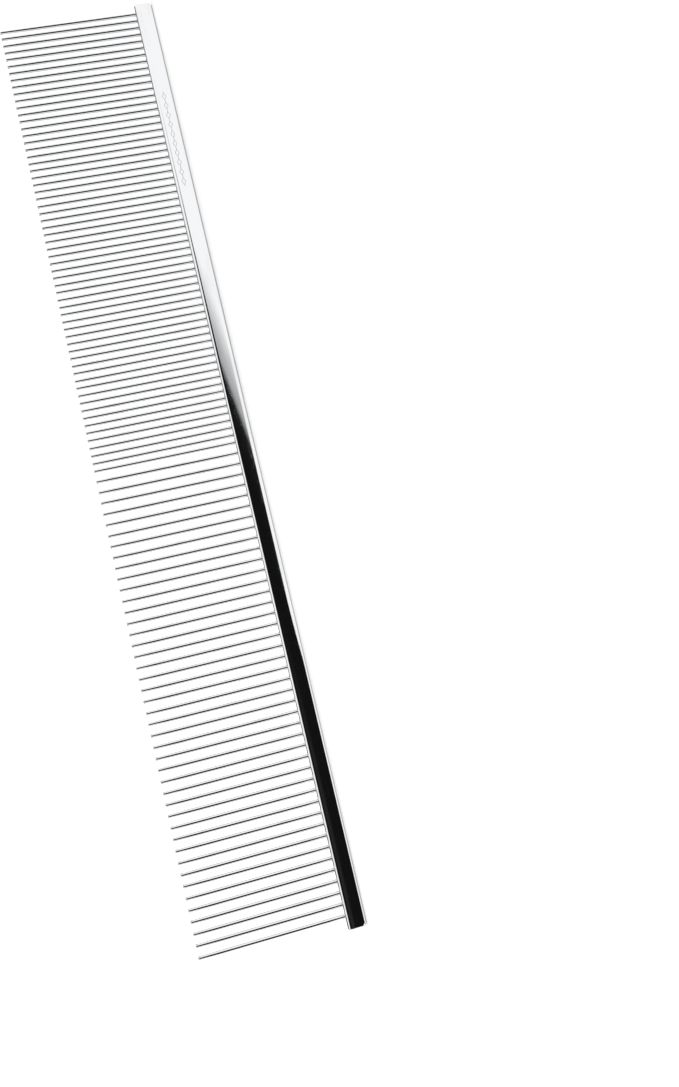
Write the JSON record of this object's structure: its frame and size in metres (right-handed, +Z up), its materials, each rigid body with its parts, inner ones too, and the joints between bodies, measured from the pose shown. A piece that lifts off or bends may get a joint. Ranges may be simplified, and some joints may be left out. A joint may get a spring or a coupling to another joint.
{
  "type": "steel grooming comb",
  "caption": "Straight metal grooming comb: a slim polished bar with one row of round steel teeth, closely spaced along one half and wider along the other.",
  "frame": {"origin": "middle of the bar's flat back, on the surface that the comb stands on", "axes": "+X along the bar from the coarse end to the fine end, +Z up, from the back of the bar to the tooth tips, and the front face of the bar looks toward -Y"},
  "size_m": [0.1906, 0.0032, 0.0316],
  "materials": {
    "bar": "mirror-polished plating, with faint fine wiping marks",
    "teeth": "bright polished steel, smooth rounded tips"
  },
  "bodies": {
    "root": {"spine": "bar", "coarse_tooth_01": "teeth", "coarse_tooth_02": "teeth", "coarse_tooth_03": "teeth", "coarse_tooth_04": "teeth", "coarse_tooth_05": "teeth", "coarse_tooth_06": "teeth", "coarse_tooth_07": "teeth", "coarse_tooth_08": "teeth", "coarse_tooth_09": "teeth", "coarse_tooth_10": "teeth", "coarse_tooth_11": "teeth", "coarse_tooth_12": "teeth", "coarse_tooth_13": "teeth", "coarse_tooth_14": "teeth", "coarse_tooth_15": "teeth", "coarse_tooth_16": "teeth", "coarse_tooth_17": "teeth", "coarse_tooth_18": "teeth", "coarse_tooth_19": "teeth", "coarse_tooth_20": "teeth", "coarse_tooth_21": "teeth", "coarse_tooth_22": "teeth", "coarse_tooth_23": "teeth", "coarse_tooth_24": "teeth", "coarse_tooth_25": "teeth", "coarse_tooth_26": "teeth", "coarse_tooth_27": "teeth", "coarse_tooth_28": "teeth", "coarse_tooth_29": "teeth", "coarse_tooth_30": "teeth", "coarse_tooth_31": "teeth", "coarse_tooth_32": "teeth", "coarse_tooth_33": "teeth", "coarse_tooth_34": "teeth", "coarse_tooth_35": "teeth", "coarse_tooth_36": "teeth", "coarse_tooth_37": "teeth", "coarse_tooth_38": "teeth", "coarse_tooth_39": "teeth", "coarse_tooth_40": "teeth", "coarse_tooth_41": "teeth", "coarse_tooth_42": "teeth", "coarse_tooth_43": "teeth", "fine_teeth_01": "teeth", "fine_teeth_02": "teeth", "fine_teeth_03": "teeth", "fine_teeth_04": "teeth", "fine_teeth_05": "teeth", "fine_teeth_06": "teeth", "fine_teeth_07": "teeth", "fine_teeth_08": "teeth", "fine_teeth_09": "teeth", "fine_teeth_10": "teeth", "fine_teeth_11": "teeth", "fine_teeth_12": "teeth", "fine_teeth_13": "teeth", "fine_teeth_14": "teeth", "fine_teeth_15": "teeth", "fine_teeth_16": "teeth"}
  },
  "joints": []
}
